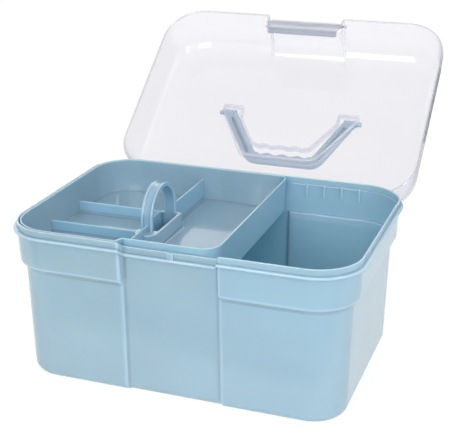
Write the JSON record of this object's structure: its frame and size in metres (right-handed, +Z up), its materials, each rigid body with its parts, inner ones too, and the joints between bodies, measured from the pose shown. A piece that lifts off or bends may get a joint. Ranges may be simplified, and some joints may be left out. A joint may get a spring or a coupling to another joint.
{
  "type": "horse grooming box",
  "caption": "Moulded carry box with a clear hinged lid standing open, a folding handle set into the lid, a front latch, and a divided lift-out tray with a finger loop.",
  "frame": {"origin": "middle of the flat underside, on the surface that the box stands on", "axes": "+Z up, -Y towards the latch, +X to the right seen from the latch's side"},
  "size_m": [0.385, 0.5134, 0.3243],
  "materials": {
    "box_plastic": "satin moulded",
    "tray_plastic": "satin moulded",
    "handle_plastic": "satin moulded",
    "lid_plastic": "clear",
    "latch_plastic": "smoky clear",
    "pin_steel": "drawn wire"
  },
  "bodies": {
    "box": {"box_body": "box_plastic", "hinge_pin": "pin_steel"},
    "tray": {"insert_tray": "tray_plastic"},
    "lid": {"lid": "lid_plastic", "latch_pin": "pin_steel"},
    "handle": {"carry_handle": "handle_plastic"},
    "latch": {"front_latch": "latch_plastic"}
  },
  "joints": [
    {"name": "lid_hinge", "type": "hinge", "parent": "box", "child": "lid", "pos_m": [0, 0.1375, 0.162], "axis": [-1, 0, 0], "range_deg": [-142, 0]},
    {"name": "tray_lift", "type": "slide", "parent": "box", "child": "tray", "axis": [0, 0, 1], "range_m": [0, 0.015]},
    {"name": "handle_fold", "type": "hinge", "parent": "lid", "child": "handle", "pos_m": [0, 0.28656, 0.20105], "axis": [1, 0, 0], "range_deg": [-20, 80]},
    {"name": "latch_swing", "type": "hinge", "parent": "lid", "child": "latch", "pos_m": [0, 0.35892, 0.31342], "axis": [1, 0, 0], "range_deg": [-60, 0]}
  ],
  "couplings": [
    {"joint": "latch_swing", "follows": "lid_hinge", "ratio": 0.42254}
  ]
}
